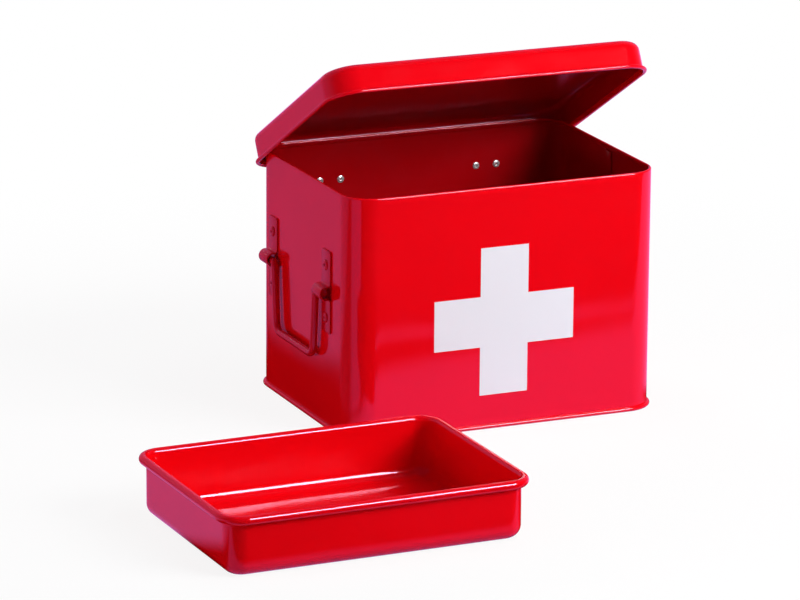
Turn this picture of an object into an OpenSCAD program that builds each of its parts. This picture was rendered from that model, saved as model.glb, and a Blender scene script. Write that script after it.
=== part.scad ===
// Sheet-steel first-aid box with a hinged lid, two bail handles and a loose tray.
// Origin: middle of the base on the floor. Front faces -Y, +Z is up, millimetres.

/* [Body] */
// Outer width of the box
body_w = 220; // [200:1:250]
// Outer depth of the box, front to rear
body_d = 163; // [150:1:190]
// Height from the floor to the rim
body_h = 162.5; // [155:0.5:190]
// Outer radius of the upright corners
body_corner_r = 20; // [16:0.5:25]
// Thickness of the wall and base sheet
sheet_t = 0.8; // [0.6:0.1:1]
// Height of the folded hem along the rim
hem_h = 3.5; // [2.5:0.5:5]
// Thickness of the folded hem, wall included
hem_t = 2; // [1.8:0.1:2.4]
// Height of the seam bead round the foot
seam_h = 3; // [2.8:0.1:3.6]
// How far the seam bead stands out from the wall
seam_out = 2; // [1.8:0.1:2.4]
// Width of the overlap where the wall sheet's ends meet
lap_w = 8; // [5:0.5:12]
// Place of the overlap's front edge on the right wall, from the middle
lap_y = -8.5; // [-20:0.5:20]

/* [Cross] */
// Overall width and height of the cross
cross_span = 99.5; // [70:0.5:120]
// Width of the cross's arms
cross_arm = 34; // [20:0.5:44]
// Sideways place of the cross, from the middle of the front
cross_x = -2.2; // [-8:0.1:8]
// Height of the cross's middle
cross_z = 72.7; // [65:0.1:90]
// Thickness of the printed layer
cross_t = 0.15; // [0.1:0.05:0.3]

/* [Lid] */
// How far the lid stands open, in degrees
lid_open = 29.6; // [0:0.1:100]
// Thickness of the lid's sheet
lid_t = 0.7; // [0.5:0.1:0.9]
// Gap between the end walls and the lid's skirt
lid_side_gap = 2.3; // [1.5:0.1:3.5]
// Gap between the front or rear wall and the lid's skirt
lid_front_gap = 1.5; // [1.4:0.1:2.5]
// How much larger the lid's corner radius is than the body's
lid_corner_step = 0.5; // [0:0.1:2]
// Height of the shut lid's top above the rim
lid_rise = 2.6; // [2.4:0.1:4]
// Depth of the lid, from its top to the middle of its curled edge
lid_depth = 19.3; // [17:0.1:24]
// Outer radius between the lid's top and its skirt
lid_edge_r = 5.5; // [3:0.1:7]
// Radius of the curled edge
bead_r = 1.25; // [1:0.05:1.4]
// How far the curled edge stands out from the skirt
bead_out = 2.2; // [2:0.05:2.4]

/* [Hinges] */
// Distance of each hinge's middle from the middle of the box
hinge_x = 57.5; // [45:0.5:70]
// Width of a hinge
hinge_w = 25; // [22:0.5:32]
// Thickness of a hinge leaf
leaf_t = 1; // [0.8:0.1:1.2]
// Diameter of the hinge pin
pin_d = 2; // [1.6:0.1:2.2]
// Distance of the hinge axis below the middle of the shut lid's curled edge
hinge_drop = 3.6; // [3.5:0.1:5]
// Distance of the hinge axis behind the lid's rear skirt
hinge_back = 1.6; // [1.4:0.1:1.8]
// Distance of the wall's hinge rivets below the rim
hinge_rivet_drop = 29; // [28:0.5:34]
// Distance between a leaf's two rivets
hinge_rivet_pitch = 15; // [12:0.5:18]
// Shank diameter of the hinge rivets
hinge_rivet_d = 2.4; // [2:0.1:3]
// Head diameter of the hinge rivets
hinge_rivet_head_d = 5.2; // [4.6:0.1:6]

/* [Handles] */
// Distance of the handle's middle behind the middle of the end wall
handle_y = 5.3; // [-5:0.1:10]
// Height of the middle of the bracket loops
bracket_z = 92.8; // [85:0.1:100]
// Distance between the two brackets of a handle
bracket_pitch = 91.5; // [85:0.5:96]
// Width of a bracket strap
bracket_w = 14.3; // [12:0.1:16]
// Length of a bracket strap
bracket_l = 55.2; // [50:0.1:60]
// Thickness of a bracket strap
bracket_t = 1.1; // [0.8:0.1:1.4]
// Distance between a strap's two rivets
bracket_rivet_pitch = 35.5; // [32:0.5:40]
// Shank diameter of the bracket rivets
bracket_rivet_d = 3.2; // [2.4:0.1:3.6]
// Head diameter of the bracket rivets
bracket_rivet_head_d = 7; // [6:0.1:8]
// Diameter of the handle rod
rod_d = 4.9; // [4:0.1:5.4]
// Room round the rod inside a bracket loop
loop_gap = 1.2; // [0.9:0.1:1.6]
// How far the handle hangs below its pivot
handle_reach = 46.2; // [38:0.1:50]
// Gap between the handle's arm and the bracket beside it
arm_gap = 2.95; // [0.5:0.05:4]
// Bend radius where an arm turns out to its pivot, on the rod's middle line
pivot_bend_r = 3.5; // [3:0.1:3.8]
// Bend radius where an arm turns into the grip, on the rod's middle line
grip_bend_r = 7; // [5:0.1:12]
// How far the rod's end stays back from the bracket's outer edge
rod_end_back = 3.6; // [2:0.1:6]

/* [Tray] */
// Gap between the hem and the tray's rim at the tray's ends, when the tray is in the box
tray_side_gap = 5; // [3:0.5:8]
// Gap between the hem and the tray's rim at its front and rear, when the tray is in the box
tray_front_gap = 2.9; // [2:0.1:6]
// How much smaller the tray's corner radius is than the body's
tray_corner_step = 3.1; // [2:0.1:4]
// Height of the tray
tray_h = 39.4; // [30:0.1:60]
// Thickness of the tray's sheet
tray_t = 0.7; // [0.5:0.1:0.9]
// Radius of the rolled rim
tray_rim_r = 2.9; // [2.4:0.1:3.2]
// Distance of the wall's outer face inside the middle of the rolled rim
tray_wall_in = 1.7; // [1.6:0.05:1.9]
// Radius between the tray's wall and its floor
tray_edge_r = 8; // [5:0.1:9]
// Where the tray stands, left of the box's middle
tray_left = 185.6; // [170:0.1:260]
// Where the tray stands, in front of the box's middle
tray_front = 231; // [200:0.1:300]
// How far the tray is turned, in degrees
tray_turn = 1; // [-5:0.1:5]

/* [Hidden] */
$fn = 48;

red = [0.86, 0.02, 0.08];
dark_red = [0.7, 0.02, 0.1];
white = [0.9, 0.9, 0.92];
steel = [0.72, 0.73, 0.75];
left = -1;
right = 1;
front = -1;
rear = 1;

// Clearance of seams, rivet shanks and hinge pins in their holes
fit = 0.05;
// Extra length of a cut past the face that it leaves
past = 1;

// Foot seam: metal outside the wall's foot flange, the flange, and the flat part of the bead
seam_fold = 0.9;
flange_w = seam_out - seam_fold;
seam_flat = seam_out - seam_h / 2;

// Lid, in the shut position
lid_w = body_w + 2 * (lid_side_gap + lid_t);
lid_d = body_d + 2 * (lid_front_gap + lid_t);
lid_corner_r = body_corner_r + lid_corner_step;
lid_top_z = body_h + lid_rise;
bead_z = lid_top_z - lid_depth;

// Hinge axis, in the shut position, and the knuckles round it
hinge_y = lid_d / 2 + hinge_back;
hinge_z = bead_z - hinge_drop;
knuckle_r = pin_d / 2 + leaf_t;
knuckle_gap = 0.2;
knuckle_l = (hinge_w - 2 * knuckle_gap) / 3;
pin_head_t = 0.6;
pin_head_r = pin_d / 2 + 0.5;

// Hinge leaves: metal below the wall's rivets, and how far the web to the knuckles
// starts above their lowest line
leaf_margin = 6.5;
web_rise = 0.3;
hinge_rivet_z = body_h - hinge_rivet_drop;
// The lid's leaf passes the curled edge and ends below the lid's round edge
leaf_clear = 0.2;
leaf_end_gap = 0.4;
lid_leaf_low_z = bead_z + bead_r + leaf_clear;
lid_leaf_high_z = lid_top_z - lid_edge_r - leaf_end_gap;
lid_leaf_out = bead_out + leaf_clear;
lid_rivet_z = (lid_leaf_low_z + leaf_t + lid_leaf_high_z) / 2;

// Rivets: head heights, the dimple and the tail as shares of the shank, length of the tail
hinge_head_h = 0.8;
bracket_head_h = 1.2;
dimple_share = 0.6;
tail_share = 1.4;
tail_l = 2;

// Handle rod: it lies off the loop's middle, away from the wall and down
rod_off_wall = 0.25;
rod_drop = 0.6;
rod_r = rod_d / 2;
loop_r = rod_r + loop_gap;
loop_out_r = loop_r + bracket_t;
pivot_n = loop_r + rod_off_wall;
pivot_z = bracket_z - rod_drop;
arm_y = bracket_pitch / 2 - bracket_w / 2 - arm_gap - rod_r;
rod_end_y = bracket_pitch / 2 + bracket_w / 2 - rod_end_back;
rod_chamfer = 0.5;

// Tray
tray_w = body_w - 2 * (hem_t + tray_side_gap);
tray_d = body_d - 2 * (hem_t + tray_front_gap);
tray_corner_r = body_corner_r - tray_corner_step;
tray_wall_n = -tray_rim_r - tray_wall_in;
tray_rim_z = tray_h - tray_rim_r;
// Slit where the rolled rim's edge comes back to the wall
curl_slit = 0.5;

// A rectangle with round corners, about the origin
module rounded_rect(w, d, r) {
    square([w - 2 * r, d], center = true);
    square([w, d - 2 * r], center = true);
    for (x = [-1, 1], y = [-1, 1])
        translate([x * (w / 2 - r), y * (d / 2 - r)]) circle(r = r);
}

// Carries a profile round a rounded rectangle. The profile's x is the distance
// out from the rectangle's edge, and its y is the height.
module frame_sweep(w, d, r) {
    for (i = [0, 1], turn = [0, 180]) {
        run = i == 0 ? d - 2 * r : w - 2 * r;
        reach = i == 0 ? w / 2 : d / 2;
        rotate([0, 0, turn + 90 * i]) translate([reach, run / 2, 0])
            rotate([90, 0, 0]) linear_extrude(height = run) children();
    }
    for (corner = [[1, 1, 0], [-1, 1, 90], [-1, -1, 180], [1, -1, 270]])
        translate([corner[0] * (w / 2 - r), corner[1] * (d / 2 - r), 0])
            rotate([0, 0, corner[2]]) rotate_extrude(angle = 90)
                translate([r, 0]) children();
}

// A quarter of a ring that turns from the side (outer face) into the top
module quarter_ring(r, t) {
    intersection() {
        difference() {
            circle(r = r);
            circle(r = r - t);
        }
        square(r + past);
    }
}

// A quarter turn of the handle's rod about the origin, from +X to +Y
module rod_bend(r) {
    rotate_extrude(angle = 90) translate([r, 0]) circle(r = rod_r);
}

// A blind rivet along +Z: dimpled head below z = 0, shank through the grip, bulb beyond it
module blind_rivet(d, head_d, head_h, grip) {
    cap_r = (head_d * head_d / 4 + head_h * head_h) / (2 * head_h);
    mirror([0, 0, 1]) difference() {
        rotate_extrude() intersection() {
            translate([0, head_h - cap_r]) circle(r = cap_r);
            square([head_d / 2, head_h]);
        }
        translate([0, 0, head_h / 2]) cylinder(d = d * dimple_share, h = head_h);
    }
    cylinder(d = d, h = grip + tail_l / 2);
    translate([0, 0, grip]) cylinder(d = d * tail_share, h = tail_l);
}

// The hole for a rivet's shank along +Z, through a grip that starts at z = 0
module rivet_hole(d, grip) {
    translate([0, 0, -past]) cylinder(r = d / 2 + fit, h = grip + 2 * past);
}

// Puts a piece of the lid, drawn shut, in the pose of lid_open
module on_lid() {
    translate([0, hinge_y, hinge_z]) rotate([-lid_open, 0, 0])
        translate([0, -hinge_y, -hinge_z]) children();
}

// Places a bracket's middle on an end wall, with +Z pointing out of the wall
module on_end_wall(side, end) {
    translate([side * body_w / 2, handle_y + end * bracket_pitch / 2, bracket_z])
        rotate([0, side * 90, 0]) children();
}

// The four rivet places on an end wall, with +Z pointing into the box
module at_bracket_rivets(side) {
    for (end = [front, rear], row = [-1, 1])
        on_end_wall(side, end) translate([row * bracket_rivet_pitch / 2, 0, bracket_t])
            mirror([0, 0, 1]) children();
}

// The rivet places on the rear wall or the lid's rear skirt at height z, with +Z pointing rearwards
module at_hinge_rivets(face_y, z) {
    for (side = [left, right], i = [-1, 1])
        translate([side * hinge_x + i * hinge_rivet_pitch / 2, face_y, z])
            rotate([-90, 0, 0]) children();
}

// A length of a side profile, drawn in Y and Z, along X about the middle of a hinge
module along_hinge(side, from, length) {
    translate([side * hinge_x + from, 0, 0]) rotate([90, 0, 90])
        linear_extrude(height = length) children();
}

module body_shell() {
    color(red) difference() {
        union() {
            frame_sweep(body_w, body_d, body_corner_r) {
                union() {
                    translate([-sheet_t, sheet_t]) square([sheet_t, body_h - sheet_t - hem_t / 2]);
                    translate([-sheet_t, sheet_t]) square([sheet_t + flange_w, sheet_t]);
                    translate([-hem_t, body_h - hem_h]) square([hem_t, hem_h - hem_t / 2]);
                    translate([-hem_t / 2, body_h - hem_t / 2]) circle(r = hem_t / 2);
                }
            }
            translate([body_w / 2 - 2 * sheet_t, lap_y, sheet_t])
                cube([1.5 * sheet_t, lap_w, body_h - hem_h - 2 * sheet_t]);
        }
        for (side = [left, right]) at_bracket_rivets(side)
            rivet_hole(bracket_rivet_d, bracket_t + sheet_t);
        at_hinge_rivets(body_d / 2 - sheet_t, hinge_rivet_z) rivet_hole(hinge_rivet_d, sheet_t);
    }
}

module base_pan() {
    color(red) union() {
        linear_extrude(height = sheet_t)
            rounded_rect(body_w + 2 * seam_flat, body_d + 2 * seam_flat, body_corner_r + seam_flat);
        frame_sweep(body_w, body_d, body_corner_r) difference() {
            union() {
                translate([fit, 0]) square([seam_flat - fit, seam_h]);
                translate([seam_flat, seam_h / 2]) circle(r = seam_h / 2);
            }
            translate([-past, sheet_t]) square([past + flange_w + fit, sheet_t + fit]);
            translate([-past, 0]) square([past + fit, seam_h]);
        }
    }
}

module front_cross() {
    color(white) translate([cross_x, -body_d / 2, cross_z]) rotate([90, 0, 0])
        linear_extrude(height = cross_t) union() {
            square([cross_span, cross_arm], center = true);
            square([cross_arm, cross_span], center = true);
        }
}

module lid_shell() {
    color(red) on_lid() difference() {
        union() {
            frame_sweep(lid_w, lid_d, lid_corner_r) union() {
                translate([-lid_t, bead_z]) square([lid_t, lid_depth - lid_edge_r]);
                translate([bead_out - bead_r, bead_z]) circle(r = bead_r);
                translate([-lid_edge_r, lid_top_z - lid_edge_r]) quarter_ring(lid_edge_r, lid_t);
            }
            translate([0, 0, lid_top_z - lid_t]) linear_extrude(height = lid_t)
                rounded_rect(lid_w - 2 * lid_edge_r, lid_d - 2 * lid_edge_r, lid_corner_r - lid_edge_r);
        }
        at_hinge_rivets(lid_d / 2 - lid_t, lid_rivet_z) rivet_hole(hinge_rivet_d, lid_t);
    }
}

module tray() {
    color(red) translate([-tray_left, -tray_front, 0]) rotate([0, 0, tray_turn]) union() {
        frame_sweep(tray_w, tray_d, tray_corner_r) union() {
            difference() {
                translate([-tray_rim_r, tray_rim_z]) circle(r = tray_rim_r);
                translate([-tray_rim_r, tray_rim_z]) circle(r = tray_rim_r - tray_t);
                translate([tray_wall_n, tray_rim_z - tray_rim_r]) square([curl_slit, tray_rim_r]);
            }
            translate([tray_wall_n - tray_t, tray_edge_r]) square([tray_t, tray_rim_z - tray_edge_r]);
            translate([tray_wall_n - tray_edge_r, tray_edge_r]) mirror([0, 1])
                quarter_ring(tray_edge_r, tray_t);
        }
        linear_extrude(height = tray_t)
            rounded_rect(
                tray_w + 2 * (tray_wall_n - tray_edge_r), tray_d + 2 * (tray_wall_n - tray_edge_r),
                tray_corner_r + tray_wall_n - tray_edge_r
            );
    }
}

module bracket(side, end) {
    color(dark_red) on_end_wall(side, end) difference() {
        rotate([90, 0, 0]) linear_extrude(height = bracket_w, center = true) difference() {
            union() {
                translate([-bracket_l / 2, 0]) square([bracket_l, bracket_t]);
                translate([-loop_out_r, 0]) square([2 * loop_out_r, loop_r]);
                translate([0, loop_r]) circle(r = loop_out_r);
            }
            translate([-loop_r, -loop_out_r]) square([2 * loop_r, loop_r + loop_out_r]);
            translate([0, loop_r]) circle(r = loop_r);
        }
        for (row = [-1, 1]) translate([row * bracket_rivet_pitch / 2, 0, 0])
            rivet_hole(bracket_rivet_d, bracket_t);
    }
}

module bracket_rivets(side) {
    color(dark_red) at_bracket_rivets(side)
        blind_rivet(bracket_rivet_d, bracket_rivet_head_d, bracket_head_h, bracket_t + sheet_t);
}

module handle(side) {
    arm_l = handle_reach - pivot_bend_r - grip_bend_r;
    grip_l = 2 * (arm_y - grip_bend_r);
    end_l = rod_end_y - arm_y - pivot_bend_r;
    color(dark_red) translate([side * (body_w / 2 + pivot_n), handle_y, pivot_z])
        rotate([0, 90, 0]) union() {
            translate([handle_reach, -grip_l / 2, 0]) rotate([-90, 0, 0])
                cylinder(r = rod_r, h = grip_l);
            for (end = [-1, 1]) {
                translate([handle_reach - grip_bend_r, end * grip_l / 2, 0])
                    rotate([0, 0, end < 0 ? -90 : 0]) rod_bend(grip_bend_r);
                translate([pivot_bend_r, end * arm_y, 0]) rotate([0, 90, 0])
                    cylinder(r = rod_r, h = arm_l);
                translate([pivot_bend_r, end * (arm_y + pivot_bend_r), 0])
                    rotate([0, 0, end < 0 ? 90 : 180]) rod_bend(pivot_bend_r);
                translate([0, end * rod_end_y, 0]) rotate([end * 90, 0, 0])
                    cylinder(r = rod_r, h = end_l);
                translate([0, end * rod_end_y, 0]) rotate([-end * 90, 0, 0])
                    cylinder(r1 = rod_r, r2 = rod_r - rod_chamfer, h = rod_chamfer);
            }
        }
}

module hinge_body_leaf(side) {
    web_z = hinge_z - knuckle_r + web_rise;
    low_z = hinge_rivet_z - leaf_margin;
    color(dark_red) difference() {
        union() {
            along_hinge(side, -hinge_w / 2, hinge_w)
                translate([body_d / 2, low_z]) square([leaf_t, web_z + leaf_t - low_z]);
            for (from = [-hinge_w / 2, hinge_w / 2 - knuckle_l])
                along_hinge(side, from, knuckle_l) difference() {
                    union() {
                        translate([body_d / 2, web_z]) square([hinge_y - body_d / 2, leaf_t]);
                        translate([hinge_y, hinge_z]) circle(r = knuckle_r);
                    }
                    translate([hinge_y, hinge_z]) circle(r = pin_d / 2 + fit);
                }
        }
        at_hinge_rivets(body_d / 2, hinge_rivet_z) rivet_hole(hinge_rivet_d, leaf_t);
    }
}

module hinge_lid_leaf(side) {
    skirt_y = lid_d / 2;
    color(dark_red) on_lid() difference() {
        union() {
            along_hinge(side, -hinge_w / 2, hinge_w) union() {
                translate([skirt_y, lid_leaf_low_z]) square([leaf_t, lid_leaf_high_z - lid_leaf_low_z]);
                translate([skirt_y, lid_leaf_low_z]) square([lid_leaf_out + leaf_t, leaf_t]);
            }
            along_hinge(side, -knuckle_l / 2, knuckle_l) difference() {
                union() {
                    translate([skirt_y + lid_leaf_out, hinge_z])
                        square([leaf_t, lid_leaf_low_z + leaf_t - hinge_z]);
                    translate([hinge_y, hinge_z]) circle(r = knuckle_r);
                }
                translate([hinge_y, hinge_z]) circle(r = pin_d / 2 + fit);
            }
        }
        at_hinge_rivets(skirt_y, lid_rivet_z) rivet_hole(hinge_rivet_d, leaf_t);
    }
}

module hinge_pin(side) {
    color(steel) translate([side * hinge_x, hinge_y, hinge_z]) rotate([0, 90, 0]) union() {
        cylinder(d = pin_d, h = hinge_w + 2 * fit, center = true);
        for (end = [-1, 1]) translate([0, 0, end * (hinge_w / 2 + fit + pin_head_t / 2)])
            cylinder(r = pin_head_r, h = pin_head_t, center = true);
    }
}

module hinge_body_rivets() {
    color(steel) at_hinge_rivets(body_d / 2 - sheet_t, hinge_rivet_z)
        blind_rivet(hinge_rivet_d, hinge_rivet_head_d, hinge_head_h, sheet_t + leaf_t);
}

module hinge_lid_rivets() {
    color(steel) on_lid() at_hinge_rivets(lid_d / 2 - lid_t, lid_rivet_z)
        blind_rivet(hinge_rivet_d, hinge_rivet_head_d, hinge_head_h, lid_t + leaf_t);
}

body_shell();
base_pan();
front_cross();
lid_shell();
tray();
bracket(left, front);  // left_front_bracket
bracket(left, rear);  // left_rear_bracket
bracket(right, front);  // right_front_bracket
bracket(right, rear);  // right_rear_bracket
bracket_rivets(left);  // left_bracket_rivets
bracket_rivets(right);  // right_bracket_rivets
handle(left);  // left_handle
handle(right);  // right_handle
hinge_body_leaf(left);  // left_hinge_body_leaf
hinge_body_leaf(right);  // right_hinge_body_leaf
hinge_lid_leaf(left);  // left_hinge_lid_leaf
hinge_lid_leaf(right);  // right_hinge_lid_leaf
hinge_pin(left);  // left_hinge_pin
hinge_pin(right);  // right_hinge_pin
hinge_body_rivets();
hinge_lid_rivets();
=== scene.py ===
import math

import bmesh
import bpy
from mathutils import Matrix, Vector


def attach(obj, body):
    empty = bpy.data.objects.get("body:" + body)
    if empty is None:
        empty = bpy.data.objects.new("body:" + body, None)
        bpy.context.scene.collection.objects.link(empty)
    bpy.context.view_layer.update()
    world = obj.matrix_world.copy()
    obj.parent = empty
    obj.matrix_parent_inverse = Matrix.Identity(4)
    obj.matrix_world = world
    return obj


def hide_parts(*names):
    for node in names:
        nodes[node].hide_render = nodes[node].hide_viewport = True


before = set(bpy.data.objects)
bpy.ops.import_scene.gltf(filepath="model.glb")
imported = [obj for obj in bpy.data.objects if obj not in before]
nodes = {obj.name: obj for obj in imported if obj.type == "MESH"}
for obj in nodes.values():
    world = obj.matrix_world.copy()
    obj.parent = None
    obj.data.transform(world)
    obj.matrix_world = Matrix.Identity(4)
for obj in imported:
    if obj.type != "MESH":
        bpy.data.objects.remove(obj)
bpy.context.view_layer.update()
scene = bpy.context.scene

# Sizes of the object are in millimetres, as in the part's source
MM = 0.001

# Walls and base of the box
BODY_W, BODY_D, BODY_H, BODY_R = 220.0, 163.0, 162.5, 20.0
BODY = (BODY_W, BODY_D, BODY_R)
SHEET = 0.8
HEM_T, HEM_H, HEM_EDGE_R, HEM_GAP = 2.0, 3.5, 0.3, 0.02
SEAM_H, SEAM_FLAT, FLANGE_W = 3.0, 0.5, 1.1
LAP_Y, LAP_W, LAP_STEP = -8.5, 8.0, 0.15
WALL_TOP = 158.0
PAN_IN, PAN_CLEAR, PAN_EDGE = 10.0, 0.05, 0.15

# Lid, modelled shut and then swung open about the hinge line
LID_T, LID_SIDE, LID_FRONT, LID_TOP, LID_DEPTH = 0.7, 2.3, 1.5, 165.1, 19.3
LID_W, LID_D, LID_R = BODY_W + 2 * (LID_SIDE + LID_T), BODY_D + 2 * (LID_FRONT + LID_T), 20.5
LID = (LID_W, LID_D, LID_R)
LID_EDGE_R, BEAD_R, BEAD_OUT = 5.5, 1.25, 2.2
BEAD_Z = LID_TOP - LID_DEPTH
SKIRT_FOOT = BEAD_Z + 2.4
LID_OPEN = 29.6
HINGE_X, HINGE_Y, HINGE_Z = 57.5, LID_D / 2 + 1.6, BEAD_Z - 3.6

# Tray
TRAY_W, TRAY_D, TRAY_H, TRAY_R = 206.0, 153.2, 39.4, 16.9
TRAY = (TRAY_W, TRAY_D, TRAY_R)
TRAY_T, TRAY_RIM, TRAY_RIM_HALF, TRAY_WALL_IN, TRAY_EDGE_R = 0.7, 2.9, 2.7, 1.7, 8.0
TRAY_X, TRAY_Y, TRAY_TURN = -185.6, -231.0, 1.0

# Width of the flat strip between a pressing's rounded edge and its panel
STRIP = 3.0

# Greatest unevenness of the pressed sheet
WALL_WAVE, PAN_WAVE, LID_WAVE, TRAY_WAVE = 0.16, 0.15, 0.12, 0.12
LID_SINK, TRAY_RISE = 0.35, 0.08

# Handles and their brackets: n is measured outwards from the end wall
HANDLE_Y, BRACKET_Z, BRACKET_PITCH = 5.3, 92.8, 91.5
BRACKET_W, BRACKET_L, BRACKET_T, RIVET_PITCH = 14.3, 55.2, 1.1, 35.5
STRAP_CORNER_R, STRAP_EDGE_R, STRAP_END_THIN, LOOP_FILLET = 1.5, 0.22, 0.18, 1.5
ROD_R, ROD_DISH, LOOP_R = 2.45, 0.6, 3.65
PIVOT_N, PIVOT_Z, REACH, ROD_END = 3.9, 92.2, 46.2, 49.8
ARM_TOP, ARM_LOW, PIVOT_BEND, GRIP_BEND = 35.4, 31.2, 3.5, 7

# Blind rivets of the hinges
HINGE_RIVET_X, WALL_RIVET_Z, LID_RIVET_Z = 7.5, 133.5, 153.725
WALL_GRIP, LID_GRIP = 1.8, 1.7


# Mesh helpers
def add_piece(name, mesh_data, material, body, stands_for, place=None, sharp=35, inside=None):
    """A mesh in millimetres; inside(centre, normal) picks the faces that get the darker inner red, which is
    painted shade.
    """
    verts, faces = mesh_data
    mesh = bpy.data.meshes.new(name)
    mesh.from_pydata([Vector(v) * MM for v in verts], [], faces)
    bm = bmesh.new()
    bm.from_mesh(mesh)
    bmesh.ops.recalc_face_normals(bm, faces=bm.faces)
    if inside:
        for face in bm.faces:
            face.material_index = 1 if inside(face.calc_center_median() / MM, face.normal) else 0
    bm.to_mesh(mesh)
    bm.free()
    if place is not None:
        mesh.transform(place)
    mesh.shade_smooth()
    mesh.set_sharp_from_angle(angle=math.radians(sharp))
    mesh.materials.append(material)
    # Inside faces get the darker red of painted shade
    if inside:
        mesh.materials.append(inner_red_painted_shade)
    obj = bpy.data.objects.new(name, mesh)
    scene.collection.objects.link(obj)
    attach(obj, body)
    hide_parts(stands_for)


def arc(cx, cy, r, start, end, n, ry=None):
    """Points along an arc in degrees; ry makes it part of an ellipse."""
    ry = r if ry is None else ry
    turns = [math.radians(start + (end - start) * i / n) for i in range(n + 1)]
    return [(cx + r * math.cos(a), cy + ry * math.sin(a)) for a in turns]


def stations(w, d, r, extra=()):
    """Points round a rounded rectangle as (x, y, outward x, outward y); extra adds y values on the right."""
    arc_n, edge_n = 20, 22
    out = []
    hw, hd = w / 2, d / 2
    corners = [(hw - r, hd - r, 0), (r - hw, hd - r, 90), (r - hw, r - hd, 180), (hw - r, r - hd, 270)]
    for k, (cx, cy, start) in enumerate(corners):
        for i in range(arc_n + 1):
            a = math.radians(start + 90 * i / arc_n)
            out.append((cx + r * math.cos(a), cy + r * math.sin(a), math.cos(a), math.sin(a)))
        after = math.radians(start + 90)
        nx, ny = round(math.cos(after)), round(math.sin(after))
        a = out[-1]
        next_x, next_y, _ = corners[(k + 1) % 4]
        b = (next_x + r * nx, next_y + r * ny)
        shares = [i / edge_n for i in range(1, edge_n)]
        if k == 3:
            shares = sorted(shares + [(y - a[1]) / (b[1] - a[1]) for y in extra])
        out += [(a[0] + (b[0] - a[0]) * t, a[1] + (b[1] - a[1]) * t, nx, ny) for t in shares]
    return out


def wave(x, y, z, phase):
    """The slight unevenness of pressed sheet, from -1 to 1."""
    return (
        math.sin(x * 0.041 + phase) * math.cos(z * 0.033 + 1.7 * phase)
        + math.sin(y * 0.047 + 2.1 * phase) * math.cos(z * 0.052 - phase)
        + 0.5 * math.sin((x + y) * 0.083 + z * 0.071 + 3 * phase)
    ) / 2.5


def window(v, low, high, soft):
    """1 well inside low..high, falling smoothly to 0 at both ends."""
    t = max(0.0, min(1.0, min(v - low, high - v) / soft))
    return t * t * (3 - 2 * t)


def flat_share(s, w, d, r):
    """How far a station lies from the rounded corners, from 0 to 1."""
    x, y, nx, ny = s
    if max(abs(nx), abs(ny)) <= 0.9999:
        return 0
    along, half = (y, d / 2 - r) if abs(nx) > abs(ny) else (x, w / 2 - r)
    return window(along, -half, half, 30)


def bulge(s, z, footprint, size, stretch, phase, band):
    """How far a wall stands out at a station: nothing at its corners, nor outside the band of heights."""
    return size * wave(s[0], s[1], z * stretch, phase) * flat_share(s, *footprint) * window(z, *band)


def sweep(path, profile, shift=None, closed=True):
    """A profile of (distance out, height) carried round a closed path."""
    verts, faces = [], []
    m = len(profile)
    for s in path:
        x, y, nx, ny = s
        for j, (a, z) in enumerate(profile):
            if shift:
                a = shift(s, j, a, z)
            verts.append((x + nx * a, y + ny * a, z))
    n = len(path)
    for i in range(n):
        k = (i + 1) % n
        for j in range(m if closed else m - 1):
            q = (j + 1) % m
            faces.append((i * m + j, k * m + j, k * m + q, i * m + q))
    return verts, faces


def fill_in(mesh_data, path_n, profile_n, row, steps, height):
    """Fills the loop at one profile row towards the Z axis, at the given height above the loop."""
    verts, faces = mesh_data
    last = [i * profile_n + row for i in range(path_n)]
    rim = [verts[i] for i in last]
    for k in range(1, steps):
        t = k / steps
        start = len(verts)
        for x, y, z in rim:
            px, py = x - x * t, y - y * t
            verts.append((px, py, z + height(px, py, t)))
        now = list(range(start, start + path_n))
        for i in range(path_n):
            q = (i + 1) % path_n
            faces.append((last[i], last[q], now[q], now[i]))
        last = now
    tip = len(verts)
    verts.append((0, 0, rim[0][2] + height(0, 0, 1)))
    for i in range(path_n):
        faces.append((last[i], last[(i + 1) % path_n], tip))


def pressing(footprint, profile, shift, crown):
    """A pan of thin sheet: both faces of its wall, as one profile, and the panels at the profile's ends."""
    path = stations(*footprint)
    mesh_data = sweep(path, profile, shift, closed=False)
    for row in (0, len(profile) - 1):
        fill_in(mesh_data, len(path), len(profile), row, 14, crown)
    return mesh_data


def tube(rings, size):
    """Faces of a tube of closed rings, with both ends capped."""
    faces = []
    for j in range(rings - 1):
        for i in range(size):
            k = (i + 1) % size
            faces.append((j * size + i, j * size + k, (j + 1) * size + k, (j + 1) * size + i))
    faces.append(tuple(range(size)))
    faces.append(tuple((rings - 1) * size + i for i in range(size)))
    return faces


def lathe(profile, n=40):
    """A profile of (radius, height) turned about Z; it starts and ends on the axis."""
    verts = [(0, 0, profile[0][1])]
    faces = []
    inner = profile[1:-1]
    for r, h in inner:
        for i in range(n):
            a = 2 * math.pi * i / n
            verts.append((r * math.cos(a), r * math.sin(a), h))
    top = len(verts)
    verts.append((0, 0, profile[-1][1]))
    for i in range(n):
        k = (i + 1) % n
        faces.append((0, 1 + k, 1 + i))
        for j in range(len(inner) - 1):
            a, b = 1 + j * n, 1 + (j + 1) * n
            faces.append((a + i, a + k, b + k, b + i))
        b = 1 + (len(inner) - 1) * n
        faces.append((b + i, b + k, top))
    return verts, faces


def joined(copies):
    """One mesh of several (mesh, matrix) copies."""
    verts, faces = [], []
    for (v, f), matrix in copies:
        start = len(verts)
        verts += [tuple(matrix @ Vector(p)) for p in v]
        faces += [tuple(start + i for i in face) for face in f]
    return verts, faces


# Shader helpers
def new_material(name):
    material = bpy.data.materials.new(name)
    material.use_nodes = True
    tree = material.node_tree
    return material, tree, tree.nodes["Principled BSDF"]


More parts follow.
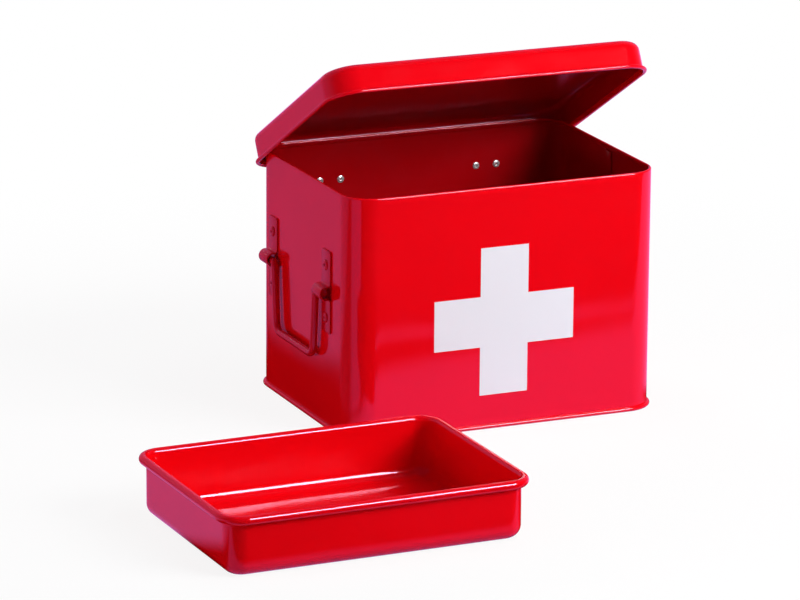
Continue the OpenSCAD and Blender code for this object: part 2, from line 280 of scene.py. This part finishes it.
def noise(tree, scale, detail, coords, roughness=0.5):
    node = tree.nodes.new("ShaderNodeTexNoise")
    node.inputs["Scale"].default_value = scale
    node.inputs["Detail"].default_value = detail
    node.inputs["Roughness"].default_value = roughness
    tree.links.new(coords.outputs["Object"], node.inputs["Vector"])
    return node.outputs["Fac"]


def spread(tree, source, low, high):
    """Noise, which stays mostly within 0.3 to 0.7, spread over low to high."""
    node = tree.nodes.new("ShaderNodeMapRange")
    for name, v in (("From Min", 0.3), ("From Max", 0.7), ("To Min", low), ("To Max", high)):
        node.inputs[name].default_value = v
    tree.links.new(source, node.inputs["Value"])
    return node.outputs["Result"]


def smooth_step(tree, value, low, high, at_low, at_high):
    node = tree.nodes.new("ShaderNodeMapRange")
    node.interpolation_type = "SMOOTHSTEP"
    for name, v in (("From Min", low), ("From Max", high), ("To Min", at_low), ("To Max", at_high)):
        node.inputs[name].default_value = v
    tree.links.new(value, node.inputs["Value"])
    return node.outputs["Result"]


def node_math(tree, operation, a, b):
    node = tree.nodes.new("ShaderNodeMath")
    node.operation = operation
    for i, v in enumerate((a, b)):
        if isinstance(v, (int, float)):
            node.inputs[i].default_value = v
        else:
            tree.links.new(v, node.inputs[i])
    return node.outputs[0]


def two_colours(tree, factor, a, b):
    node = tree.nodes.new("ShaderNodeMix")
    node.data_type = "RGBA"
    node.inputs[6].default_value = (*a, 1)
    node.inputs[7].default_value = (*b, 1)
    tree.links.new(factor, node.inputs[0])
    return node.outputs[2]


def mixed(tree, factor, a, b):
    """The shader a where the factor is 0, and b where it is 1."""
    node = tree.nodes.new("ShaderNodeMixShader")
    tree.links.new(factor, node.inputs[0])
    tree.links.new(a, node.inputs[1])
    tree.links.new(b, node.inputs[2])
    return node.outputs[0]


def bumpy(tree, shader, height, distance):
    bump = tree.nodes.new("ShaderNodeBump")
    bump.inputs["Strength"].default_value = 1
    bump.inputs["Distance"].default_value = distance
    tree.links.new(height, bump.inputs["Height"])
    tree.links.new(bump.outputs["Normal"], shader.inputs["Normal"])


# Materials
def paint(name, light, dark, rough, peel, tint=(1, 1, 1), ior=1.5):
    """Stoved enamel: faint cloudy colour, orange peel of the given depth in metres, soft handling marks."""
    material, tree, shader = new_material(name)
    coords = tree.nodes.new("ShaderNodeTexCoord")
    colour = two_colours(tree, noise(tree, 22, 3, coords), light, dark)
    tree.links.new(colour, shader.inputs["Base Color"])
    marks = noise(tree, 60, 5, coords, 0.6)
    tree.links.new(spread(tree, marks, *rough), shader.inputs["Roughness"])
    coarse = node_math(tree, "MULTIPLY", noise(tree, 120, 1, coords), 2.5)
    bumpy(tree, shader, node_math(tree, "ADD", coarse, noise(tree, 700, 2, coords)), peel)
    shader.inputs["Specular Tint"].default_value = (*tint, 1)
    shader.inputs["IOR"].default_value = ior
    return material


def bare_steel():
    """Zinc-plated steel, dull in part, so that it stays pale where it mirrors the dark room."""
    material, tree, shader = new_material("zinc_steel")
    coords = tree.nodes.new("ShaderNodeTexCoord")
    colour = two_colours(tree, noise(tree, 500, 4, coords), (0.80, 0.80, 0.82), (0.60, 0.60, 0.63))
    tree.links.new(colour, shader.inputs["Base Color"])
    shader.inputs["Metallic"].default_value = 0.65
    marks = noise(tree, 900, 5, coords, 0.6)
    tree.links.new(spread(tree, marks, 0.18, 0.34), shader.inputs["Roughness"])
    bumpy(tree, shader, marks, 0.00002)
    return material


PINK = (1, 0.65, 0.9)
red = paint("red_enamel", (0.80, 0.0010, 0.0050), (0.74, 0.0008, 0.0045), (0.06, 0.11), 0.000005, PINK)
# Painted shade: the inside of the box and of the lid gets the same red, darker and duller, for the deep shade
# that lies there
inner_red_painted_shade = paint(
    "red_enamel_inside_painted_shade", (0.47, 0.0008, 0.0040), (0.42, 0.0006, 0.0034), (0.14, 0.24), 0.000008, PINK, 1.42
)
handle_red = paint(
    "red_enamel_fittings", (0.62, 0.0010, 0.0080), (0.54, 0.0008, 0.0070), (0.12, 0.20), 0.000010, PINK
)
white = paint("white_print", (0.752, 0.768, 0.83), (0.746, 0.762, 0.82), (0.30, 0.36), 0.000002)
steel = bare_steel()


def repaint(node, material):
    mesh = nodes[node].data
    mesh.materials.clear()
    mesh.materials.append(material)


# Box body
def box_walls():
    """Four walls of one sheet: hem at the rim, lap seam inside the right wall, flange at the foot."""
    rows = [2 * SHEET] + [SEAM_H + (WALL_TOP - SEAM_H) * i / 20 for i in range(21)] + [BODY_H - HEM_T / 2]
    hem_foot = BODY_H - HEM_H
    profile = [(0, z) for z in rows]
    profile += arc(-HEM_T / 2, BODY_H - HEM_T / 2, HEM_T / 2, 0, 180, 12)[1:]
    profile += [(-HEM_T, hem_foot + HEM_EDGE_R)]
    profile += arc(HEM_EDGE_R - HEM_T, hem_foot + HEM_EDGE_R, HEM_EDGE_R, 180, 270, 3)[1:]
    profile += [(-SHEET - HEM_GAP, hem_foot)]
    lap_from = len(profile)
    profile += [(-SHEET, z) for z in reversed(rows) if z < hem_foot] + [(-SHEET, SHEET)]
    lap_to = len(profile)
    profile += [(FLANGE_W, SHEET), (FLANGE_W, 2 * SHEET)]

    def shift(s, j, a, z):
        a += bulge(s, z, BODY, WALL_WAVE, 1, 0.7, (SEAM_H, WALL_TOP, 30))
        in_lap = s[2] > 0.99 and LAP_Y - 0.01 <= s[1] <= LAP_Y + LAP_W + 0.01
        return a - SHEET if in_lap and lap_from <= j < lap_to else a

    # Faces inside the box, which get the darker red of painted shade
    def inside(p, n):
        return SHEET + 0.1 < p.z < BODY_H - HEM_T / 2 and n.x * p.x + n.y * p.y < 0

    lap_edges = (LAP_Y - LAP_STEP, LAP_Y, LAP_Y + LAP_W, LAP_Y + LAP_W + LAP_STEP)
    mesh_data = sweep(stations(*BODY, extra=lap_edges), profile, shift)
    add_piece("box_walls", mesh_data, red, "box", "body_shell", inside=inside)


def base_pan():
    """A flat panel whose edge is folded up round the walls' foot."""
    flange = FLANGE_W + PAN_CLEAR
    profile = [(-PAN_IN, SHEET), (flange, SHEET), (flange, 2 * SHEET + PAN_CLEAR)]
    profile += [(PAN_CLEAR, 2 * SHEET + PAN_CLEAR), (PAN_CLEAR, SEAM_H - PAN_EDGE), (PAN_EDGE, SEAM_H)]
    profile += arc(SEAM_FLAT, SEAM_H / 2, SEAM_H / 2, 90, -90, 16)
    profile += [(-PAN_IN, 0)]

    def crown(x, y, t):
        return PAN_WAVE * math.sin(math.pi * t) * wave(x, y, 0, 2)

    path = stations(*BODY)
    mesh_data = sweep(path, profile, closed=False)
    fill_in(mesh_data, len(path), len(profile), 0, 8, crown)
    fill_in(mesh_data, len(path), len(profile), len(profile) - 1, 2, lambda x, y, t: 0)
    # The pan's top face inside the box gets the darker red of painted shade
    add_piece(
        "base_pan_folded", mesh_data, red, "box", "base_pan",
        inside=lambda p, n: n.z > 0.9 and p.z < SHEET + 0.2,
    )


box_walls()
base_pan()
repaint("front_cross", white)

# Lid
to_open = (
    Matrix.Translation(Vector((0, HINGE_Y, HINGE_Z)) * MM)
    @ Matrix.Rotation(math.radians(-LID_OPEN), 4, "X")
    @ Matrix.Translation(Vector((0, -HINGE_Y, -HINGE_Z)) * MM)
)


def lid():
    """A drawn lid: slightly sunk top, rounded edge, skirt and a bead curled outwards at its foot."""
    edge_z = LID_TOP - LID_EDGE_R
    skirt = [SKIRT_FOOT + (edge_z - SKIRT_FOOT) * i / 6 for i in range(6)]
    profile = [(-LID_EDGE_R - STRIP, LID_TOP)]
    profile += arc(-LID_EDGE_R, edge_z, LID_EDGE_R, 90, 0, 12)
    profile += [(0, z) for z in reversed(skirt)]
    profile += [(0, BEAD_Z + BEAD_R)]
    profile += arc((BEAD_OUT - LID_T) / 2, BEAD_Z, (BEAD_OUT + LID_T) / 2, 118, -180, 26, BEAD_R)
    profile += [(-LID_T, z) for z in skirt]
    profile += arc(-LID_EDGE_R, edge_z, LID_EDGE_R - LID_T, 0, 90, 12)
    profile += [(-LID_EDGE_R - STRIP, LID_TOP - LID_T)]

    def shift(s, j, a, z):
        return a + bulge(s, z, LID, LID_WAVE, 2, 1.9, (BEAD_Z, LID_TOP, 6))

    def crown(x, y, t):
        sink = LID_SINK * math.sin(math.pi * min(1, t * 1.3) / 2) ** 2
        return LID_WAVE * wave(x, y, 30, 0.4) * math.sin(math.pi * t) - sink

    # Faces inside the lid, which get the darker red of painted shade
    def inside(p, n):
        return p.z > BEAD_Z + BEAD_R and n.x * p.x + n.y * p.y + n.z * (p.z - BEAD_Z) < 0

    mesh_data = pressing(LID, profile, shift, crown)
    add_piece("lid_pressing", mesh_data, red, "lid", "lid_shell", to_open, inside=inside)


lid()


# Tray
def tray():
    """A drawn tray: flat floor, rounded foot, walls and a rim rolled outwards."""
    rim_z = TRAY_H - TRAY_RIM
    wall_n = -TRAY_RIM - TRAY_WALL_IN
    fold_n = wall_n - TRAY_EDGE_R
    wall_top = rim_z - 2.4
    rows = [TRAY_EDGE_R + (wall_top - TRAY_EDGE_R) * i / 6 for i in range(7)]
    profile = [(fold_n - STRIP, TRAY_T)]
    profile += arc(fold_n, TRAY_EDGE_R, TRAY_EDGE_R - TRAY_T, -90, 0, 14)
    profile += [(wall_n - TRAY_T, z) for z in rows[1:]]
    profile += arc(-TRAY_RIM_HALF, rim_z, TRAY_RIM_HALF, 180, -132, 34, TRAY_RIM)
    profile += [(wall_n + 0.05, rim_z - 2.2)]
    profile += [(wall_n, z) for z in reversed(rows[:-1])]
    profile += arc(fold_n, TRAY_EDGE_R, TRAY_EDGE_R, 0, -90, 14)[1:]
    profile += [(fold_n - STRIP, 0)]

    def shift(s, j, a, z):
        return a + bulge(s, z, TRAY, TRAY_WAVE, 1.5, 3.1, (6, rim_z - 2, 8))

    def crown(x, y, t):
        uneven = 1 + 0.6 * wave(x, y, 60, 1.2)
        return TRAY_RISE * uneven * math.sin(math.pi * min(1, t * 1.4) / 2) ** 2

    turn = Matrix.Rotation(math.radians(TRAY_TURN), 4, "Z")
    place = Matrix.Translation(Vector((TRAY_X, TRAY_Y, 0)) * MM) @ turn
    mesh_data = pressing(TRAY, profile, shift, crown)
    add_piece("tray_pressing", mesh_data, red, "tray", "tray", place)


tray()


# Handles
def rounded_path(points, radii):
    """A polyline with its inner corners rounded, as (point, unit tangent)."""
    degrees_a_step = 6
    pts = [Vector(p) for p in points]
    out = [(pts[0], (pts[1] - pts[0]).normalized())]
    for i in range(1, len(pts) - 1):
        u, v = (pts[i] - pts[i - 1]).normalized(), (pts[i + 1] - pts[i]).normalized()
        turn = u.angle(v)
        start = pts[i] - u * radii[i] * math.tan(turn / 2)
        side = (v - u * u.dot(v)).normalized()
        centre = start + side * radii[i]
        n = max(6, int(math.degrees(turn) / degrees_a_step))
        for k in range(n + 1):
            a = turn * k / n
            outward = u * math.sin(a) - side * math.cos(a)
            out.append((centre + outward * radii[i], u * math.cos(a) + side * math.sin(a)))
    out.append((pts[-1], (pts[-1] - pts[-2]).normalized()))
    return out


def rod(points, radii, r, n=28):
    """A round rod in a plane of constant x along a rounded path, with slightly dished ends."""
    line_points = rounded_path(points, radii)
    (first, first_way), (last, last_way) = line_points[0], line_points[-1]
    dish = [ROD_DISH * (1 - math.sin(math.pi / 2 * k / 4)) for k in range(4)]
    rings = [(first + first_way * depth, first_way, r - depth) for depth in dish]
    rings += [(p, way, r) for p, way in line_points[1:-1]]
    rings += [(last - last_way * depth, last_way, r - depth) for depth in reversed(dish)]
    across = Vector((1, 0, 0))
    verts = []
    for p, way, size in rings:
        up = way.cross(across)
        for i in range(n):
            a = 2 * math.pi * i / n
            verts.append(tuple(p + (across * math.cos(a) + up * math.sin(a)) * size))
    return verts, tube(len(rings), n)


def handle(side, word):
    """A bail bent from one rod, with arms that lean in towards the grip."""
    x = side * (BODY_W / 2 + PIVOT_N)
    half = [(x, -ROD_END, PIVOT_Z), (x, -ARM_TOP, PIVOT_Z), (x, -ARM_LOW, PIVOT_Z - REACH)]
    points = half + [(x, -y, z) for _, y, z in reversed(half)]
    points = [(px, py + HANDLE_Y, pz) for px, py, pz in points]
    mesh_data = rod(points, (0, PIVOT_BEND, GRIP_BEND, GRIP_BEND, PIVOT_BEND, 0), ROD_R)
    name = word + "_handle"
    add_piece(word + "_bail", mesh_data, handle_red, name, name, sharp=50)


def strap():
    """A bracket strap with a half-round loop, along Z, standing out along X from x = 0."""
    mid = BRACKET_T / 2
    end_u = BRACKET_L / 2
    bend_u, bend_n = LOOP_R + BRACKET_T + LOOP_FILLET, BRACKET_T + LOOP_FILLET
    bend_r, loop_r = LOOP_FILLET + mid, LOOP_R + mid
    leg = end_u - STRAP_CORNER_R - bend_u
    # Half of the strap as (distance up, distance out, direction up, direction out), from its lower end
    half = [(-end_u + e, mid, 1, 0) for e in (0, 0.12, 0.3, 0.6, 1.0, STRAP_CORNER_R)]
    half += [(-end_u + STRAP_CORNER_R + leg * k / 6, mid, 1, 0) for k in range(1, 6)]
    for k in range(9):
        c, s = math.cos(math.radians(90 * k / 8)), math.sin(math.radians(90 * k / 8))
        half.append((bend_r * s - bend_u, bend_n - bend_r * c, c, s))
    for k in range(12):
        c, s = math.cos(math.radians(180 - 7.5 * k)), math.sin(math.radians(180 - 7.5 * k))
        half.append((loop_r * c, LOOP_R + loop_r * s, s, -c))
    rows = half + [(0, LOOP_R + loop_r, 1, 0)]
    rows += [(-u, n, du, -dn) for u, n, du, dn in reversed(half)]
    verts = []
    for i, (u, n, du, dn) in enumerate(rows):
        to_end = min(STRAP_CORNER_R, end_u - abs(u))
        corner = math.sqrt(max(0, STRAP_CORNER_R ** 2 - (STRAP_CORNER_R - to_end) ** 2))
        half_w = BRACKET_W / 2 - STRAP_CORNER_R + corner - STRAP_EDGE_R
        half_t = mid - STRAP_EDGE_R - (STRAP_END_THIN if i in (0, len(rows) - 1) else 0)
        for sy, sn, start in ((1, 1, 0), (-1, 1, 90), (-1, -1, 180), (1, -1, 270)):
            for y, t in arc(sy * half_w, sn * half_t, STRAP_EDGE_R, start, start + 90, 3):
                verts.append((n + t * du, y, u - t * dn))
    return verts, tube(len(rows), len(verts) // len(rows))


SIDES = ((-1, "left"), (1, "right"))
ENDS = ((-1, "front"), (1, "rear"))
for side, word in SIDES:
    handle(side, word)

strap_mesh = strap()
for side, word in SIDES:
    for end, end_word in ENDS:
        move = Matrix.Translation((side * BODY_W / 2, HANDLE_Y + end * BRACKET_PITCH / 2, BRACKET_Z))
        mesh_data = joined([(strap_mesh, move @ Matrix.Diagonal((side, 1, 1, 1)))])
        name = f"{word}_{end_word}"
        add_piece(name + "_strap", mesh_data, handle_red, "box", name + "_bracket", sharp=40)


# Rivets
def blind_rivet(d, head_d, head_h, grip):
    """Head outwards along +Z from z = 0 with the broken mandrel in its hole, shank and set tail along -Z."""
    hole = d * 0.3
    lip = hole + 0.16
    cap = head_d / 2
    bulb = d * 0.7
    profile = [(0, 0.1), (hole * 0.5, 0.09), (hole * 0.85, 0.06), (hole * 0.98, 0.2)]
    profile += [(hole, 0.86), (hole + 0.06, 0.96), (lip, 1)]
    for k in range(1, 9):
        t = k / 8
        profile.append((lip + (cap - lip) * t, 0.16 + 0.84 * math.sqrt(1 - t ** 2.4)))
    profile = [(r, head_h * share) for r, share in profile + [(cap, 0.06)]]
    profile += [(cap - 0.06, 0), (d / 2, 0), (d / 2, -grip)]
    tail = ((0.9, 0), (1, 0.3), (1, 1.2), (0.86, 1.75), (0.6, 1.98), (0.35, 2), (0, 1.85))
    profile += [(bulb * share, -grip - depth) for share, depth in tail]
    return lathe(profile)


def facing(point, direction):
    return Matrix.Translation(point) @ Vector(direction).to_track_quat("Z", "Y").to_matrix().to_4x4()


def bracket_rivets(side, word):
    rivet = blind_rivet(3.2, 7.0, 1.2, BRACKET_T + SHEET)
    copies = []
    for end, _ in ENDS:
        for row in (-1, 1):
            y, z = HANDLE_Y + end * BRACKET_PITCH / 2, BRACKET_Z + row * RIVET_PITCH / 2
            copies.append((rivet, facing((side * (BODY_W / 2 + BRACKET_T), y, z), (side, 0, 0))))
    name = word + "_bracket_rivets"
    add_piece(word + "_strap_rivets", joined(copies), handle_red, "box", name, sharp=50)


def hinge_rivets(name, body, node, grip, y, z, place=None):
    rivet = blind_rivet(2.4, 5.2, 0.8, grip)
    xs = [side * HINGE_X + i * HINGE_RIVET_X for side in (-1, 1) for i in (-1, 1)]
    copies = [(rivet, facing((x, y, z), (0, -1, 0))) for x in xs]
    add_piece(name, joined(copies), steel, body, node, place, sharp=50)


for side, word in SIDES:
    bracket_rivets(side, word)
hinge_rivets("wall_hinge_rivets", "box", "hinge_body_rivets", WALL_GRIP, BODY_D / 2 - SHEET, WALL_RIVET_Z)
hinge_rivets("lid_hinge_rivets", "lid", "hinge_lid_rivets", LID_GRIP, LID_D / 2 - LID_T, LID_RIVET_Z, to_open)

for _, word in SIDES:
    repaint(word + "_hinge_body_leaf", handle_red)
    repaint(word + "_hinge_lid_leaf", handle_red)
    repaint(word + "_hinge_pin", steel)

# Floor: from here on sizes are in metres
FLOOR_HALF, FLOOR_Z = 6.0, -0.0001
GLOW_CENTRE = (-0.08, -0.1, 0)
REFLECTED_TONE = (1, 0.36, 1)


def reflected_floor(tree, x, y):
    """How bright the floor is to reflections: patches that the gloss shows as streaks, dark elsewhere."""
    def step(value, edge, levels):
        return smooth_step(tree, value, *edge, *levels)

    def times(a, b):
        return node_math(tree, "MULTIPLY", a, b)

    def most(a, b):
        return node_math(tree, "MAXIMUM", a, b)

    # In front of the box: what the lower part of the front wall mirrors, with a slanted outer edge
    slant = node_math(tree, "ADD", y, times(x, 0.18))
    front = step(slant, (-0.262, -0.212), (0.03, 1.1))
    before_box = times(step(y, (-0.09, -0.06), (1, 0)), step(x, (-0.185, -0.12), (0, 1)))
    right_of_box = step(x, (0.12, 0.16), (0, 1))
    front = times(front, most(before_box, right_of_box))
    # A strip in front of the tray, mirrored low in the tray's front wall
    strip = times(step(y, (-0.335, -0.318), (0, 0.7)), step(y, (-0.30, -0.29), (1, 0)))
    # Left of the box: what the upper part of the left wall and the left corner mirror; next to the box it
    # stays dark, a painted shadow of the box
    left = node_math(tree, "ADD", step(y, (-0.10, -0.05), (0.78, 0.10)), step(y, (0.06, 0.14), (0, 0.33)))
    left = times(left, step(x, (-0.185, -0.145), (1, 0)))
    sector = node_math(tree, "SUBTRACT", y, times(x, 0.8))
    left = times(left, step(sector, (-0.02, 0.03), (0, 1)))
    # Behind the box
    behind = times(step(y, (0.12, 0.2), (0, 0.5)), step(x, (-0.15, -0.11), (0, 1)))
    return most(most(most(front, behind), left), strip)


def floor_material():
    """White with a soft shadow to the camera, patchy to reflections, and mid grey to the lamps' light."""
    material = bpy.data.materials.new("pale_floor")
    material.use_nodes = True
    tree = material.node_tree
    tree.nodes.clear()
    out = tree.nodes.new("ShaderNodeOutputMaterial")
    light_path = tree.nodes.new("ShaderNodeLightPath")
    place = tree.nodes.new("ShaderNodeNewGeometry")
    split = tree.nodes.new("ShaderNodeSeparateXYZ")
    tree.links.new(place.outputs["Position"], split.inputs[0])

    def diffuse(level):
        node = tree.nodes.new("ShaderNodeBsdfDiffuse")
        node.inputs["Color"].default_value = (level, level, level, 1)
        return node.outputs[0]

    # To the camera: it glows white but for a share near the box, which takes the shadow
    glow = tree.nodes.new("ShaderNodeEmission")
    glow.inputs["Strength"].default_value = 1
    distance = tree.nodes.new("ShaderNodeVectorMath")
    distance.operation = "DISTANCE"
    tree.links.new(place.outputs["Position"], distance.inputs[0])
    distance.inputs[1].default_value = GLOW_CENTRE
    glow_share = smooth_step(tree, distance.outputs["Value"], 0.35, 0.75, 0.88, 1.0)
    seen = mixed(tree, glow_share, diffuse(0.9), glow.outputs[0])

    mirrored = tree.nodes.new("ShaderNodeEmission")
    mirrored.inputs["Color"].default_value = (*REFLECTED_TONE, 1)
    level = reflected_floor(tree, split.outputs["X"], split.outputs["Y"])
    tree.links.new(level, mirrored.inputs["Strength"])

    unseen = mixed(tree, light_path.outputs["Is Glossy Ray"], diffuse(0.5), mirrored.outputs[0])
    surface = mixed(tree, light_path.outputs["Is Camera Ray"], unseen, seen)
    tree.links.new(surface, out.inputs["Surface"])
    return material


def add_floor():
    corners = [(x * FLOOR_HALF, y * FLOOR_HALF, FLOOR_Z) for x, y in ((-1, -1), (1, -1), (1, 1), (-1, 1))]
    mesh = bpy.data.meshes.new("floor")
    mesh.from_pydata(corners, [], [(0, 1, 2, 3)])
    mesh.materials.append(floor_material())
    floor = bpy.data.objects.new("floor", mesh)
    scene.collection.objects.link(floor)


add_floor()

# World: white to the camera, a weak fill, and to reflections a dim room that is paler behind the object
AMBIENT, ROOM_FRONT, ROOM_REAR = 0.04, 0.06, 0.5
ROOM_TONE = (1, 0.45, 0.95)


def studio_world():
    world = bpy.data.worlds.new("studio")
    scene.world = world
    world.use_nodes = True
    tree = world.node_tree
    tree.nodes.clear()
    out = tree.nodes.new("ShaderNodeOutputWorld")
    background = tree.nodes.new("ShaderNodeBackground")
    light_path = tree.nodes.new("ShaderNodeLightPath")
    coords = tree.nodes.new("ShaderNodeTexCoord")
    split = tree.nodes.new("ShaderNodeSeparateXYZ")
    tree.links.new(coords.outputs["Generated"], split.inputs[0])
    to_camera, to_gloss = light_path.outputs["Is Camera Ray"], light_path.outputs["Is Glossy Ray"]
    room = smooth_step(tree, split.outputs["Y"], -0.2, 0.6, ROOM_FRONT, ROOM_REAR)
    room = node_math(tree, "MULTIPLY", to_gloss, node_math(tree, "SUBTRACT", room, AMBIENT))
    level = node_math(tree, "ADD", room, AMBIENT)
    level = node_math(tree, "ADD", level, node_math(tree, "MULTIPLY", to_camera, 1 - AMBIENT))
    tree.links.new(level, background.inputs["Strength"])
    tree.links.new(two_colours(tree, to_camera, ROOM_TONE, (1, 1, 1)), background.inputs["Color"])
    tree.links.new(background.outputs[0], out.inputs["Surface"])


studio_world()


# Lamps
def area_lamp(name, place, target, width, height, watts, mirrored=False, lighting=True):
    """A softbox; only mirrored lamps show in reflections, and only lighting ones light the paint."""
    data = bpy.data.lights.new(name, "AREA")
    data.shape = "RECTANGLE"
    data.size, data.size_y = width, height
    data.energy = watts
    lamp = bpy.data.objects.new(name, data)
    scene.collection.objects.link(lamp)
    lamp.location = place
    lamp.rotation_euler = (Vector(target) - Vector(place)).to_track_quat("-Z", "Y").to_euler()
    lamp.visible_glossy = mirrored
    lamp.visible_diffuse = lighting


BOX_MIDDLE, GROUP_MIDDLE = (0, 0, 0.1), (0.05, -0.1, 0.1)
area_lamp("key_softbox", (0.83, -1.143, 0.85), BOX_MIDDLE, 0.95, 0.7, 28.5)
area_lamp("left_reflector", (-1.6, 0, 0.16), BOX_MIDDLE, 0.5, 0.3, 6)
area_lamp("left_softbox", (-1.226, 0, 1.128), BOX_MIDDLE, 0.5, 0.5, 1.8)
area_lamp("overhead_fill", (0.42, -0.37, 1.50), GROUP_MIDDLE, 1.5, 0.4, 6.5)
area_lamp("rear_softbox", (-0.3, 1.5, 0.7), (0, 0, 0.12), 0.8, 0.5, 14)
# Gives the white lines on rims and folds
area_lamp(
    "key_mirrored", (0.628, -1.553, 0.917), (-0.05, -0.1, 0.1), 0.9, 0.6, 60, mirrored=True, lighting=False
)

# Camera: place in metres, angles in degrees
CAMERA_PLACE, CAMERA_LENS = (-1.33909, -2.97783, 0.97702), 228.99
YAW, PITCH, ROLL = math.radians(23.5573), math.radians(15.6175), math.radians(0.4371)


def add_camera():
    forward = Vector((math.sin(YAW) * math.cos(PITCH), math.cos(YAW) * math.cos(PITCH), -math.sin(PITCH)))
    level = Vector((math.cos(YAW), -math.sin(YAW), 0))
    upright = level.cross(forward)
    right = level * math.cos(ROLL) + upright * math.sin(ROLL)
    up = upright * math.cos(ROLL) - level * math.sin(ROLL)
    data = bpy.data.cameras.new("camera")
    data.sensor_width = 36
    data.lens = CAMERA_LENS
    camera = bpy.data.objects.new("camera", data)
    scene.collection.objects.link(camera)
    turn = Matrix((right, up, -forward)).transposed().to_4x4()
    camera.matrix_world = Matrix.Translation(CAMERA_PLACE) @ turn
    scene.camera = camera


add_camera()
scene.view_settings.view_transform = "Standard"
